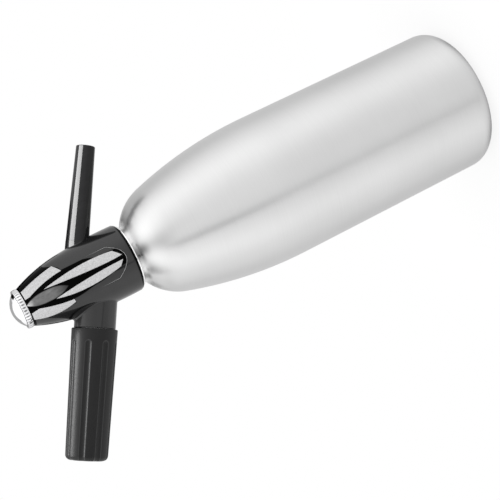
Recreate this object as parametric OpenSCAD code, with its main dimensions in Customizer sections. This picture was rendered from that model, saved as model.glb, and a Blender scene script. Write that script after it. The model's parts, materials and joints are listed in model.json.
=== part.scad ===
// Push-button soda siphon: aluminium bottle, black head with a valve, spout and charger holder.
// Millimetres, standing upright. The origin is the centre of the ring foot, +Z runs up the
// bottle's axis and +X points to the spout.

/* [Bottle] */
// Outside diameter of the bottle
bottle_d = 90; // [76:1:110]
// Thickness of the bottle's wall
bottle_wall = 2; // [1.2:0.1:3]
// Height at which the straight wall starts to draw in
wall_h = 138; // [90:1:200]
// Radius of the long shoulder curve
shoulder_r = 262; // [210:1:360]
// Angle through which the long shoulder curve turns
shoulder_turn = 17; // [12:0.5:22]
// Radius of the crown above the shoulder
crown_r = 33; // [27:0.5:42]
// Radius of the rounded heel
heel_r = 11.5; // [5:0.5:16]
// Width of the flat ring that the bottle stands on
foot_w = 5; // [3:0.5:8]
// Depth of the dished base inside the foot
dish_depth = 5; // [3:0.5:10]

/* [Bottle neck] */
// Outside diameter of the plain neck under the head
neck_d = 35.2; // [34.4:0.2:36.4]
// Height of the neck that shows between the crown and the head
neck_show = 3.6; // [2.6:0.1:6]
// Diameter of the rolled bead under the head
bead_d = 38; // [37:0.2:39.6]
// Height of the rolled bead
bead_h = 1.2; // [0.8:0.1:2]
// Outside diameter of the neck's thread
thread_d = 33; // [32:0.2:33.6]
// Height of the threaded neck
thread_h = 11; // [9:0.5:12]
// Bore of the neck
neck_bore_d = 28; // [26:0.5:29]

/* [Head] */
// Largest diameter of the head
head_d = 42; // [41:0.5:48]
// Height of the head from its lower edge to the knurled collar
head_h = 66.5; // [64:0.5:76]
// Height of the widest place above the head's lower edge
belly_h = 9.3; // [6:0.1:14]
// Radius of the barrel curve of the head's side
barrel_r = 245; // [180:5:400]
// Height of the nose curve that ends at the collar
nose_h = 27; // [22:0.5:32]
// Diameter of the nose at the collar
nose_d = 23.2; // [22.8:0.1:25]
// Height of the eased lower edge of the head
rim_ease = 1.4; // [0.6:0.1:2.4]

/* [Spout] */
// Height above the head's lower edge at which the spout's axis meets the bottle's axis
spout_at = 35.4; // [34:0.2:38]
// Angle of the spout below level
spout_droop = 31.6; // [26:0.2:36]
// Distance along the spout from the bottle's axis to the tip
spout_reach = 80.8; // [60:0.5:120]
// Diameter of the spout where it leaves the head
spout_root_d = 13.6; // [12.6:0.1:14.6]
// Diameter of the spout at its tip
spout_tip_d = 11.1; // [9.5:0.1:12.5]
// Bore of the spout
spout_bore_d = 6; // [4:0.2:7]
// Wall of the spout's shank and of the socket that it fits
spout_wall = 2; // [1.5:0.1:2.2]
// Distance along the spout from the bottle's axis to the floor of its socket
spout_seat = 9.5; // [9:0.1:10]
// Thickness of the washer at the foot of the spout
spout_washer_t = 1.2; // [0.8:0.1:1.6]
// Distance along the spout from the bottle's axis to its shoulder
spout_shoulder = 15.5; // [14.5:0.1:16]
// Distance along the spout from the bottle's axis to the start of its taper
spout_straight = 22; // [20:0.5:30]

/* [Charger holder] */
// Height above the head's lower edge at which the holder's axis meets the bottle's axis
holder_at = 19.2; // [18:0.2:21]
// Angle of the holder above level
holder_rise = 30.4; // [26:0.2:34]
// Diameter of the boss on the head
boss_d = 24.1; // [22.5:0.1:26]
// Distance along the holder from the bottle's axis to the end of the boss
boss_reach = 33; // [31:0.5:40]
// Gap between the boss and the holder when it is screwed home
holder_gap = 0.5; // [0.4:0.1:2]
// Diameter of the holder at its rim
holder_rim_d = 26.7; // [26:0.1:30]
// Diameter of the holder at its closed end
holder_end_d = 24.4; // [23.6:0.1:28]
// Thickness of the holder's closed end
holder_end_t = 4.3; // [3:0.1:8]
// Radius of the rounded end of the holder
holder_end_r = 3; // [1:0.5:4]
// Number of flutes round the holder
flute_n = 8; // [6:1:12]
// Radius of the cutter that makes a flute
flute_r = 2.6; // [2:0.1:3.4]
// Depth of a flute
flute_depth = 0.8; // [0.4:0.1:1.1]
// Plain length between the rim and the middle of the flutes' arched tops
flute_start = 8.2; // [5:0.2:14]
// Wall of the threaded insert in the holder's mouth
insert_wall = 1.2; // [0.8:0.1:1.3]
// Depth of the insert below the holder's rim
insert_sunk = 0.4; // [0.2:0.1:1]

/* [Gas charger] */
// Outside diameter of the charger
charger_d = 18; // [17:0.1:18.4]
// Overall length of the charger
charger_l = 65.5; // [60:0.5:80]
// Diameter of the charger's neck
charger_neck_d = 8.6; // [7.5:0.1:9.2]
// Length of the charger's straight neck
charger_neck_l = 8; // [7.6:0.2:10]
// Length of the curve from the neck to the body
charger_shoulder_l = 9; // [6:0.5:12]
// Thickness of the charger's wall
charger_wall = 1.4; // [1:0.1:1.8]
// Diameter of the hole that the needle has pierced
pierced_d = 2.6; // [2.4:0.1:3]

/* [Push button] */
// Travel of the button
button_travel = 2.2; // [1.5:0.1:2.6]
// Diameter of the button's dome
button_d = 20.6; // [19.8:0.1:20.8]
// Height of the dome above the collar
dome_h = 4.8; // [3:0.1:7]
// Diameter of the button's skirt in the collar
button_skirt_d = 17; // [16:0.1:17.4]
// Diameter of the flange that keeps the button in the collar
button_flange_d = 19.2; // [18.6:0.1:19.8]
// Thickness of that flange
button_flange_t = 1.8; // [1.2:0.1:2.4]
// Largest diameter of the knurled collar
collar_d = 24; // [23.6:0.1:26]
// Height of the knurled collar
collar_h = 3.3; // [2.8:0.1:4.5]
// Diameter of the collar's threaded skirt
collar_skirt_d = 20.4; // [20.2:0.1:21]
// Number of grooves round the collar
knurl_n = 40; // [24:2:60]
// Diameter of the cutter that makes a groove
knurl_d = 0.9; // [0.5:0.1:1.1]

/* [Valve] */
// Outside diameter of the valve body's skirt
core_d = 37.6; // [37.2:0.1:38]
// Thickness of the valve body's disc above the gasket
disc_h = 7; // [6:0.5:9]
// Diameter of the valve body's tower
tower_d = 18; // [17:0.5:19]
// Diameter of the stem
stem_d = 3.6; // [3:0.1:4.4]
// Depth of the stem's top below the end of the nose
stem_drop = 2.5; // [1:0.1:5]
// Length of the stem's tail below the valve's flange
stem_tail = 4; // [2:0.1:5]
// Diameter of the valve's flange and seal
poppet_d = 9.6; // [8.6:0.1:10.4]
// Thickness of the valve's flange
poppet_t = 1.6; // [1.2:0.1:2.2]
// Thickness of the rubber seal
seal_t = 2; // [1.4:0.1:2.6]
// Diameter of the hole in the valve seat
seat_d = 6.6; // [5.8:0.1:7.4]
// Thickness of the valve seat
seat_t = 2.4; // [1.8:0.1:3]
// Height of the outlet chamber above the seat
outlet_h = 8; // [7.4:0.2:9]
// Diameter of the outlet chamber
outlet_d = 9; // [8:0.2:10]
// Diameter of the hole from the outlet chamber to the spout
outlet_hole_d = 5.2; // [4:0.1:5.4]
// Thickness of the web under the stem's O-ring
gland_web = 2; // [1.4:0.1:2.6]
// Thickness of the stem's O-ring
ring_t = 2.2; // [1.6:0.1:2.6]
// Thread diameter of the gland nut
gland_d = 11; // [10:0.2:12]
// Length of the gland nut's thread
gland_h = 5; // [4:0.2:6]
// Height of the gland nut's hexagon
gland_head_h = 2.4; // [1.8:0.1:3]
// Diameter of the spring's wire
spring_wire = 0.8; // [0.5:0.05:1]
// Number of turns of the spring
spring_turns = 4; // [3:0.5:5]
// Diameter of the spring to the middle of its wire
spring_d = 7.2; // [6.4:0.1:8.4]

/* [Riser] */
// Outside diameter of the riser tube
riser_d = 8; // [7:0.1:8.6]
// Bore of the riser tube
riser_bore_d = 5.2; // [4:0.1:5.6]
// Height of the riser tube's lower end above the base
riser_foot_z = 13; // [10:0.5:30]
// Thread diameter of the riser nut, which also sets the valve chamber
riser_nut_d = 12.4; // [11.6:0.1:13]
// Length of the riser nut's thread
riser_nut_h = 4.5; // [3.5:0.1:5]
// Length of the riser nut's sleeve below the valve body
riser_sleeve_l = 8; // [4:0.5:12]
// Height of the riser nut's hexagon
riser_hex_h = 2; // [1.5:0.1:3]
// Wall of the riser nut and reach of the hexagons
hex_wall = 1.4; // [1:0.1:1.8]
// Thickness of the gasket on the bottle's mouth
gasket_t = 2; // [1.4:0.1:2.6]

/* [Gas inlet] */
// Distance from the bottle's axis to the floor of the nipple's socket
nipple_seat = 13.8; // [13.2:0.1:15]
// Thickness of the washer at the foot of the nipple
nipple_washer_t = 1.2; // [0.8:0.1:1.6]
// Length of the nipple's shank that is held in the valve body
nipple_hold = 9; // [7:0.5:10]
// Wall of the valve body round the nipple's shank
nipple_wall = 2; // [1.5:0.1:2.2]
// Diameter of the nipple's shank
nipple_shank_d = 12.8; // [11.6:0.1:13.6]
// Outside diameter of the nipple's thread
nipple_thread_d = 20.8; // [20:0.1:21.2]
// Length of the nipple's thread
nipple_thread_l = 11; // [9:0.5:12]
// Diameter of the nipple's recess for the charger's neck
nipple_recess_d = 10.2; // [9.8:0.1:12]
// Distance from the end of the boss to the floor of that recess
recess_at = 3.5; // [2.5:0.1:4.5]
// Thickness of the seal under the charger's neck
charger_seal_t = 2; // [1.4:0.1:2.6]
// Diameter of the piercing pin's body
pin_d = 6.8; // [6:0.1:7.6]
// Length of the piercing pin's body
pin_l = 9.5; // [8:0.5:11]
// Diameter of the needle
needle_d = 1.6; // [1.2:0.1:1.8]
// Length of the needle beyond its body
needle_l = 4.6; // [3.6:0.1:5.4]
// Length of the check valve's sleeve
check_l = 4; // [3:0.5:5]
// Diameter of the gas channels
gas_d = 3; // [2:0.1:3.4]
// Distance of the gas channel into the bottle from the bottle's axis
gas_at = 11; // [10.4:0.1:11.6]

/* [Trim] */
// Depth of the leaf-shaped pocket for a panel
panel_depth = 0.7; // [0.5:0.1:1]
// Height of a panel above the head's surface
panel_proud = 0.3; // [0.1:0.05:0.5]
// Depth of the pockets for the outer stripes
stripe_depth = 0.5; // [0.3:0.1:0.8]
// Height of a stripe above what it is set in
stripe_proud = 0.1; // [0.05:0.05:0.3]

/* [Fits] */
// Radial clearance of a screw thread
thread_gap = 0.3; // [0.2:0.05:0.5]
// Radial clearance of a sliding or push fit
slide_gap = 0.05; // [0.02:0.01:0.1]
// Clearance between pieces that pass each other freely
free_gap = 0.2; // [0.1:0.05:0.4]
// Clearance of the charger in its holder
charger_gap = 0.4; // [0.3:0.05:0.6]
// Clearance above the gland nut when the button is pressed home
stop_gap = 1; // [0.6:0.1:1.6]

/* [Hidden] */
$fn = 96;
eps = 0.01;
through = 200;
curve_n = 10;
skirt_lift = 1;
edge_ease = 0.5;
button_shell_t = 1.6;
button_post_wall = 2;
seal_plate_t = 2;
charger_swell = 0.6;

// Bottle, up to the neck
bottle_r = bottle_d / 2;
neck_r = neck_d / 2;
foot_r = bottle_r - heel_r;
dish_r = foot_r - foot_w;
dish_curve = (dish_r * dish_r + dish_depth * dish_depth) / (2 * dish_depth);
dish_c = [0, dish_depth - dish_curve];
floor_r = sqrt(pow(dish_curve + bottle_wall, 2) - pow(bottle_wall - dish_c[1], 2));
heel_c = [foot_r, heel_r];
shoulder_c = [bottle_r - shoulder_r, wall_h];
crown_c = shoulder_c + (shoulder_r - crown_r) * [cos(shoulder_turn), sin(shoulder_turn)];
crown_end = acos((neck_r - crown_c[0]) / crown_r);
crown_top = crown_c[1] + crown_r * sin(crown_end);
bore_r = neck_bore_d / 2;
bore_end = acos((bore_r - crown_c[0]) / (crown_r - bottle_wall));
neck_fillet_r = 0.9 * (neck_show - bead_h - free_gap);
fillet_start = acos((neck_r + neck_fillet_r - crown_c[0]) / (crown_r + neck_fillet_r));
fillet_c = crown_c + (crown_r + neck_fillet_r) * [cos(fillet_start), sin(fillet_start)];
mouth_ease = 0.6;

// Heights from the base up
rim_z = crown_top + neck_show;
bead_z = rim_z - free_gap - bead_h;
mouth_z = rim_z + thread_h;
floor_z = mouth_z + gasket_t;
skirt_z = rim_z + skirt_lift;
disc_z = floor_z + disc_h;
riser_nut_z = floor_z + riser_nut_h;
spout_z = rim_z + spout_at;
holder_z = rim_z + holder_at;
outlet_z = spout_z - outlet_h / 2;
seat_z = outlet_z - seat_t;
poppet_z = seat_z - seal_t - poppet_t;
ring_z = spout_z + outlet_h / 2 + gland_web;
gland_z = ring_z + ring_t + free_gap / 2;
tower_z = gland_z + gland_h;
gland_top_z = tower_z + gland_head_h;
nose_z = rim_z + head_h;
cap_z = nose_z + collar_h;
flange_z = gland_top_z + stop_gap + button_travel;
collar_foot_z = flange_z + button_flange_t + free_gap;
recess_z = cap_z - button_travel - free_gap;
stem_top_z = nose_z - stem_drop;

// Side of the head: a barrel curve that runs on into the nose curve
head_r = head_d / 2;
nose_at = head_h - nose_h;
nose_lean = asin((nose_at - belly_h) / barrel_r);
nose_p = [head_r - barrel_r * (1 - cos(nose_lean)), nose_at];
nose_v = [nose_d / 2, head_h] - nose_p;
nose_n = [-cos(nose_lean), -sin(nose_lean)];
nose_r = (nose_v * nose_v) / (2 * (nose_v * nose_n));
nose_c = nose_p + nose_r * nose_n;
rim_draw = rim_ease / 2;

// Distances along the spout, from the bottle's axis
spout_shank_d = spout_bore_d + 2 * spout_wall;
spout_foot = spout_seat + spout_washer_t;
spout_boss_d = spout_shank_d + 2 * spout_wall;

// Distances along the holder, from the bottle's axis
nipple_foot = nipple_seat + nipple_washer_t;
core_boss_reach = nipple_seat + nipple_hold;
core_boss_d = nipple_shank_d + 2 * nipple_wall;
holder_foot = boss_reach + holder_gap;
recess_t = boss_reach + recess_at;
charger_t = recess_t + charger_seal_t;
nipple_end = boss_reach + nipple_thread_l;
holder_floor = charger_t + charger_l + charger_gap;
holder_end = holder_floor + holder_end_t;
insert_d = nipple_thread_d + 2 * thread_gap;
insert_foot = holder_foot + insert_sunk;
insert_end = nipple_end + thread_gap;
holder_bore_d = charger_d + 2 * charger_gap;

// Riser and valve
chamber_d = riser_nut_d + 2 * slide_gap;
spring_z = riser_nut_z + spring_wire / 2 + eps;
spring_l = poppet_z - riser_nut_z - spring_wire - 2 * eps;
spring_rings = 12;
spring_sides = 6;

// Outlines on the side of the head, as [distance round the head, height above its lower edge].
// An inner stripe: point, middle of the outer edge, its end, end of the inner edge, its middle.
inner_stripe_up = [[4.5, 54.2], [7.95, 31], [7.1, 10.8], [2.7, 6.6], [2.5, 25]];
inner_stripe_down = [[-3.3, 50.4], [-5.6, 32], [-3, 10], [0.15, 7.2], [-0.75, 28]];
// An outer stripe: nose corner, knee, middle of the inner edge, its end, end of the outer edge,
// its middle, other nose corner.
outer_stripe_up =
    [[3.8, 65.7], [4.1, 63], [8.2, 52], [10.2, 41], [16.4, 44.2], [14, 54.1], [9.75, 65.7]];
outer_stripe_down =
    [[-4.9, 65.7], [-4.2, 61], [-7, 50.6], [-8.2, 41.5], [-10.2, 41.3], [-12.2, 54], [-9.4, 65.7]];
// The leaf: point, middle of the upper edge, start of its straight, round end's start, middle
// and finish, end of the lower straight, middle of the lower edge.
leaf = [[0.6, 65.5], [8, 47], [11.2, 24], [11.1, 13], [1.2, 4.7], [-9.3, 13.4], [-9.3, 24], [-6.2, 47]];

// Points on an arc about c from angle a0 to angle a1
function arc(c, r, a0, a1, n = curve_n) =
    [for (i = [0:n]) let (a = a0 + (a1 - a0) * i / n) c + r * [cos(a), sin(a)]];

// Points on a smooth curve from p through q to s
function through_points(p, q, s, n = curve_n) =
    let (c = 2 * q - (p + s) / 2)
    [for (i = [0:n]) let (t = i / n) (1 - t) * (1 - t) * p + 2 * t * (1 - t) * c + t * t * s];

// Radius of the head's side at a height above its lower edge
function head_side(h) =
    h < nose_at
        ? head_r - barrel_r + sqrt(barrel_r * barrel_r - pow(h - belly_h, 2))
        : nose_c[0] + sqrt(nose_r * nose_r - pow(h - nose_c[1], 2));

// Heights at which the head's side is drawn
function head_steps() =
    concat([for (i = [0:curve_n]) rim_ease + (nose_at - rim_ease) * i / curve_n],
           [for (i = [1:curve_n]) nose_at + nose_h * i / curve_n]);

// A point of a pattern laid on the head's side, seen from the front
function on_side(p) =
    let (r = head_side(p[1])) [r * sin(p[0] / r * 180 / PI), rim_z + p[1]];

function inner_stripe_outline(s) =
    concat(through_points(s[0], s[1], s[2]), through_points(s[3], s[4], s[0]));

function outer_stripe_outline(s) =
    concat([s[0]], through_points(s[1], s[2], s[3]), through_points(s[4], s[5], s[6]));

function leaf_outline(s) =
    concat(through_points(s[0], s[1], s[2]), through_points(s[3], s[4], s[5]),
           through_points(s[6], s[7], s[0]));

// Places its children along the spout's axis, which points away from the bottle
module along_spout() {
    translate([0, 0, spout_z])
        rotate([0, 90 + spout_droop, 0])
            children();
}

// Places its children along the holder's axis, which points away from the bottle
module along_holder() {
    translate([0, 0, holder_z])
        rotate([0, holder_rise - 90, 0])
            children();
}

// A tube from z0 to z1
module tube(d, bore, z0, z1) {
    translate([0, 0, z0])
        difference() {
            cylinder(d = d, h = z1 - z0);
            translate([0, 0, -1])
                cylinder(d = bore, h = z1 - z0 + 2);
        }
}

// A plain round bar from z0 to z1
module bar(d, z0, z1) {
    translate([0, 0, z0])
        cylinder(d = d, h = z1 - z0);
}

// A piece of the bottle, turned from its outer outline and the way back along its inner one
module turned(outer, inner) {
    color("silver")
        rotate_extrude()
            polygon(concat(outer, inner));
}

module bottle_base() {
    turned(
        concat(
            arc(dish_c, dish_curve, 90, 90 - asin(dish_r / dish_curve)),
            arc(heel_c, heel_r, -90, 0)
        ),
        concat(
            arc(heel_c, heel_r - bottle_wall, 0, -90),
            arc(dish_c, dish_curve + bottle_wall, 90 - asin(floor_r / (dish_curve + bottle_wall)), 90)
        )
    );
}

module bottle_side() {
    color("silver")
        tube(bottle_d, bottle_d - 2 * bottle_wall, heel_r, wall_h);
}

module bottle_shoulder() {
    turned(
        arc(shoulder_c, shoulder_r, 0, shoulder_turn, 2 * curve_n),
        arc(shoulder_c, shoulder_r - bottle_wall, shoulder_turn, 0, 2 * curve_n)
    );
}

module bottle_crown() {
    turned(
        concat(
            arc(crown_c, crown_r, shoulder_turn, fillet_start, 2 * curve_n),
            arc(fillet_c, neck_fillet_r, 180 + fillet_start, 180)
        ),
        concat(
            [[bore_r, fillet_c[1]]],
            arc(crown_c, crown_r - bottle_wall, bore_end, shoulder_turn, 2 * curve_n)
        )
    );
}

module bottle_neck() {
    bead_c = [bead_d / 2 - bead_h / 2, bead_z + bead_h / 2];
    turned(
        concat(
            [[neck_r, fillet_c[1]], [neck_r, bead_z]],
            arc(bead_c, bead_h / 2, -90, 90),
            [[neck_r, bead_z + bead_h], [thread_d / 2, bead_z + bead_h]],
            [[thread_d / 2, mouth_z - mouth_ease], [thread_d / 2 - mouth_ease, mouth_z]]
        ),
        [[bore_r, mouth_z], [bore_r, fillet_c[1]]]
    );
}

module neck_gasket() {
    color("firebrick")
        tube(thread_d, neck_bore_d, mouth_z, floor_z);
}

module riser_tube() {
    color("whitesmoke")
        difference() {
            tube(riser_d, riser_bore_d, riser_foot_z, riser_nut_z - hex_wall);
            translate([0, 0, riser_foot_z + riser_d / 2])
                rotate([0, 45, 0])
                    translate([-through / 2, -through / 2, -through])
                        cube(through);
        }
}

module riser_nut() {
    sleeve_d = riser_d + 2 * hex_wall + 2 * slide_gap;
    color("white")
        difference() {
            union() {
                bar(riser_nut_d, floor_z - riser_hex_h / 2, riser_nut_z);
                translate([0, 0, floor_z - riser_hex_h])
                    cylinder(d = riser_nut_d + 2 * hex_wall, h = riser_hex_h, $fn = 6);
                bar(sleeve_d, floor_z - riser_sleeve_l, floor_z - riser_hex_h / 2);
            }
            bar(riser_d + 2 * slide_gap, floor_z - riser_sleeve_l - 1, riser_nut_z - hex_wall);
            bar(riser_bore_d, floor_z, riser_nut_z + 1);
        }
}

// Outside of the valve body, grown by a clearance
module core_form(grow = 0) {
    bar(core_d + 2 * grow, skirt_z - grow, disc_z + grow);
    bar(tower_d + 2 * grow, disc_z, tower_z + grow);
    along_spout()
        cylinder(d = spout_boss_d + 2 * grow, h = spout_shoulder + grow);
    along_holder()
        cylinder(d = core_boss_d + 2 * grow, h = core_boss_reach + grow);
}

module valve_body() {
    color("lightsteelblue")
        difference() {
            core_form();
            bar(thread_d + 2 * thread_gap, rim_z, floor_z);
            bar(chamber_d, floor_z - 1, seat_z);
            bar(seat_d, seat_z - 1, outlet_z + 1);
            bar(outlet_d, outlet_z, spout_z + outlet_h / 2);
            bar(stem_d + 4 * slide_gap, spout_z, tower_z);
            bar(stem_d + 2 * ring_t + 2 * free_gap, ring_z, tower_z);
            bar(gland_d + 2 * slide_gap, gland_z, tower_z + 1);
            along_spout() {
                cylinder(d = outlet_hole_d, h = spout_seat + 1);
                bar(spout_shank_d + 2 * slide_gap, spout_seat, spout_shoulder + 1);
                bar(spout_root_d + 2 * free_gap, spout_shoulder, through);
            }
            along_holder() {
                bar(gas_d, gas_at / cos(holder_rise), nipple_seat + 1);
                bar(nipple_shank_d + 2 * slide_gap, nipple_seat, core_boss_reach + 1);
            }
            translate([-gas_at, 0, 0])
                bar(gas_d, floor_z - 1, holder_z + gas_at * tan(holder_rise));
        }
}

// Solid of the head's outside between the lower edge and the nose, grown by a radius
module head_solid(grow = 0) {
    steps = head_steps();
    rotate_extrude()
        polygon(concat(
            [[0, rim_z], [head_side(0) - rim_draw + grow, rim_z]],
            [for (h = steps) [head_side(h) + grow, rim_z + h]],
            [[0, nose_z]]
        ));
}

// A layer of the head's side, from below its surface to above it
module head_layer(below, above) {
    difference() {
        head_solid(above);
        head_solid(-below);
    }
}

// A prism through the front of the head, cut to an outline laid on its side
module front_prism(outline) {
    rotate([90, 0, 0])
        linear_extrude(height = head_d)
            polygon([for (p = outline) on_side(p)]);
}

module inner_stripe_prisms() {
    for (s = [inner_stripe_up, inner_stripe_down])
        front_prism(inner_stripe_outline(s));
}

module outer_stripe_prisms() {
    for (s = [outer_stripe_up, outer_stripe_down])
        front_prism(outer_stripe_outline(s));
}

// The pockets in one side of the head
module front_pockets() {
    intersection() {
        front_prism(leaf_outline(leaf));
        head_layer(panel_depth, 1);
    }
    intersection() {
        outer_stripe_prisms();
        head_layer(stripe_depth, 1);
    }
}

module head_shell() {
    color("black")
        difference() {
            union() {
                head_solid();
                along_holder()
                    cylinder(d = boss_d, h = boss_reach);
            }
            core_form(slide_gap);
            bar(core_d + 2 * slide_gap, rim_z - 1, floor_z);
            bar(collar_skirt_d + 2 * slide_gap, tower_z, nose_z + 1);
            along_spout()
                bar(spout_root_d + 2 * slide_gap, spout_shoulder, through);
            along_holder()
                bar(nipple_shank_d + 2 * slide_gap, core_boss_reach, boss_reach + 1);
            front_pockets();
            mirror([0, 1, 0])
                front_pockets();
        }
}

module panel() {
    difference() {
        intersection() {
            front_prism(leaf_outline(leaf));
            head_layer(panel_depth, panel_proud);
        }
        inner_stripe_prisms();
    }
}

module front_panel() {
    color("#151515")
        panel();
}

module back_panel() {
    color("#151515")
        mirror([0, 1, 0])
            panel();
}

module inner_stripes() {
    intersection() {
        inner_stripe_prisms();
        head_layer(panel_depth, panel_proud + stripe_proud);
    }
}

module front_inner_stripes() {
    color("gainsboro")
        inner_stripes();
}

module back_inner_stripes() {
    color("gainsboro")
        mirror([0, 1, 0])
            inner_stripes();
}

module outer_stripes() {
    intersection() {
        outer_stripe_prisms();
        head_layer(stripe_depth, stripe_proud);
    }
}

module front_outer_stripes() {
    color("gainsboro")
        outer_stripes();
}

module back_outer_stripes() {
    color("gainsboro")
        mirror([0, 1, 0])
            outer_stripes();
}

module spout() {
    tip_r = spout_tip_d / 2;
    color("black")
        along_spout()
            difference() {
                rotate_extrude()
                    polygon([
                        [0, spout_foot],
                        [spout_shank_d / 2, spout_foot],
                        [spout_shank_d / 2, spout_shoulder],
                        [spout_root_d / 2, spout_shoulder],
                        [spout_root_d / 2, spout_straight],
                        [tip_r, spout_reach - edge_ease],
                        [tip_r - edge_ease, spout_reach],
                        [0, spout_reach]
                    ]);
                bar(spout_bore_d, spout_foot - 1, spout_reach + 1);
            }
}

module spout_washer() {
    color("dimgray")
        along_spout()
            tube(spout_shank_d, spout_bore_d + 2 * free_gap, spout_seat, spout_foot);
}

module valve_stem() {
    color("lightgray") {
        bar(stem_d, poppet_z - stem_tail, stem_top_z);
        bar(poppet_d, poppet_z, poppet_z + poppet_t);
    }
}

module valve_seal() {
    color("dimgray")
        tube(poppet_d, stem_d + 2 * slide_gap, seat_z - seal_t, seat_z);
}

// Middle of the spring's wire after a number of turns
function spring_point(turn) =
    [
        spring_d / 2 * cos(360 * turn),
        spring_d / 2 * sin(360 * turn),
        spring_z + spring_l * turn / spring_turns
    ];

module valve_spring() {
    steps = spring_turns * spring_rings;
    rise = atan(spring_l / spring_turns / (PI * spring_d));
    points = [
        for (i = [0:steps], k = [0:spring_sides - 1])
            let (
                turn = i / spring_rings,
                out = [cos(360 * turn), sin(360 * turn), 0],
                up = [sin(rise) * sin(360 * turn), -sin(rise) * cos(360 * turn), cos(rise)],
                a = 360 * k / spring_sides
            )
            spring_point(turn) + spring_wire / 2 * (cos(a) * out + sin(a) * up)
    ];
    sides = [
        for (i = [0:steps - 1], k = [0:spring_sides - 1])
            let (
                a = i * spring_sides + k,
                b = i * spring_sides + (k + 1) % spring_sides
            )
            each [[a, a + spring_sides, b + spring_sides], [a, b + spring_sides, b]]
    ];
    last = steps * spring_sides;
    ends = [
        for (k = [1:spring_sides - 2])
            each [[0, k, k + 1], [last, last + k + 1, last + k]]
    ];
    color("lightgray")
        polyhedron(points, concat(sides, ends));
    echo(spring_gap = norm(spring_point(1) - spring_point(0)) - spring_wire);
}

module stem_o_ring() {
    color("dimgray")
        rotate_extrude()
            translate([stem_d / 2 + slide_gap + ring_t / 2, ring_z + ring_t / 2])
                circle(d = ring_t, $fn = 32);
}

module gland_nut() {
    color("goldenrod")
        difference() {
            union() {
                bar(gland_d, gland_z, tower_z);
                translate([0, 0, tower_z])
                    cylinder(d = gland_d + 2 * hex_wall, h = gland_head_h, $fn = 6);
            }
            bar(stem_d + 2 * slide_gap, gland_z - 1, gland_top_z + 1);
        }
}

module push_button() {
    button_r = button_d / 2;
    dome_r = (button_r * button_r + dome_h * dome_h) / (2 * dome_h);
    post_d = stem_d + 2 * button_post_wall;
    color("gainsboro")
        difference() {
            union() {
                intersection() {
                    translate([0, 0, cap_z + dome_h - dome_r])
                        sphere(r = dome_r);
                    bar(button_d + 1, cap_z, cap_z + dome_h + 1);
                }
                bar(button_skirt_d, flange_z, cap_z + eps);
                bar(button_flange_d, flange_z, flange_z + button_flange_t);
            }
            tube(button_skirt_d - 2 * button_shell_t, post_d, flange_z - 1, cap_z);
            bar(stem_d + 2 * slide_gap, flange_z - 1, stem_top_z + free_gap);
        }
}

module button_collar() {
    collar_r = collar_d / 2;
    ease = (collar_d - nose_d) / 2;
    color("gainsboro")
        difference() {
            union() {
                bar(collar_skirt_d, collar_foot_z, nose_z + eps);
                rotate_extrude()
                    polygon(concat(
                        [[0, nose_z]],
                        through_points([collar_r - ease, nose_z], [collar_r, nose_z + collar_h / 2],
                                       [collar_r - ease, cap_z]),
                        [[0, cap_z]]
                    ));
            }
            bar(button_skirt_d + 2 * slide_gap, collar_foot_z - 1, cap_z + 1);
            bar(button_d + 2 * free_gap, recess_z, cap_z + 1);
            for (i = [0:knurl_n - 1])
                rotate([0, 0, 360 * i / knurl_n])
                    translate([collar_r, 0, 0])
                        bar(knurl_d, nose_z - eps, cap_z + 1);
        }
}

module charger_nipple() {
    color("silver")
        along_holder()
            difference() {
                union() {
                    bar(nipple_shank_d, nipple_foot, boss_reach + eps);
                    bar(nipple_thread_d, boss_reach, nipple_end);
                }
                bar(gas_d, nipple_foot - 1, recess_t);
                bar(pin_d + 2 * slide_gap, recess_t - pin_l - check_l, recess_t);
                bar(nipple_recess_d, recess_t, nipple_end + 1);
            }
}

module nipple_washer() {
    color("dimgray")
        along_holder()
            tube(nipple_shank_d, gas_d, nipple_seat, nipple_foot);
}

module check_valve() {
    color("firebrick")
        along_holder()
            tube(pin_d, gas_d, recess_t - pin_l - check_l, recess_t - pin_l);
}

module piercing_pin() {
    needle_end = recess_t + needle_l;
    color("lightgray")
        along_holder()
            difference() {
                rotate_extrude()
                    polygon([
                        [0, recess_t - pin_l],
                        [pin_d / 2, recess_t - pin_l],
                        [pin_d / 2, recess_t],
                        [needle_d / 2, recess_t],
                        [needle_d / 2, needle_end - needle_d],
                        [needle_d / 4, needle_end],
                        [0, needle_end]
                    ]);
                bar(needle_d / 3, recess_t - pin_l - 1, needle_end + 1);
            }
}

module charger_seal() {
    color("dimgray")
        along_holder()
            tube(nipple_recess_d - 2 * slide_gap, needle_d + 2 * free_gap, recess_t, charger_t);
}

module gas_charger() {
    body_r = charger_d / 2;
    throat_r = charger_neck_d / 2;
    inner_r = body_r - charger_wall;
    shoulder_foot = charger_neck_l + charger_shoulder_l;
    bowl_c = [0, charger_l - body_r];
    neck_end = [throat_r, charger_neck_l];
    body_start = [body_r, shoulder_foot];
    shoulder_mid = (neck_end + body_start) / 2 + charger_swell * [1, -1];
    inset = [-charger_wall, 0];
    color("silver")
        along_holder()
            translate([0, 0, charger_t])
                rotate_extrude()
                    polygon(concat(
                        [[pierced_d / 2, 0], [throat_r, 0]],
                        through_points(neck_end, shoulder_mid, body_start),
                        arc(bowl_c, body_r, 0, 90),
                        arc(bowl_c, inner_r, 90, 0),
                        through_points(body_start + inset, shoulder_mid + inset, neck_end + inset),
                        [[throat_r - charger_wall, seal_plate_t], [pierced_d / 2, seal_plate_t]]
                    ));
}

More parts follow.
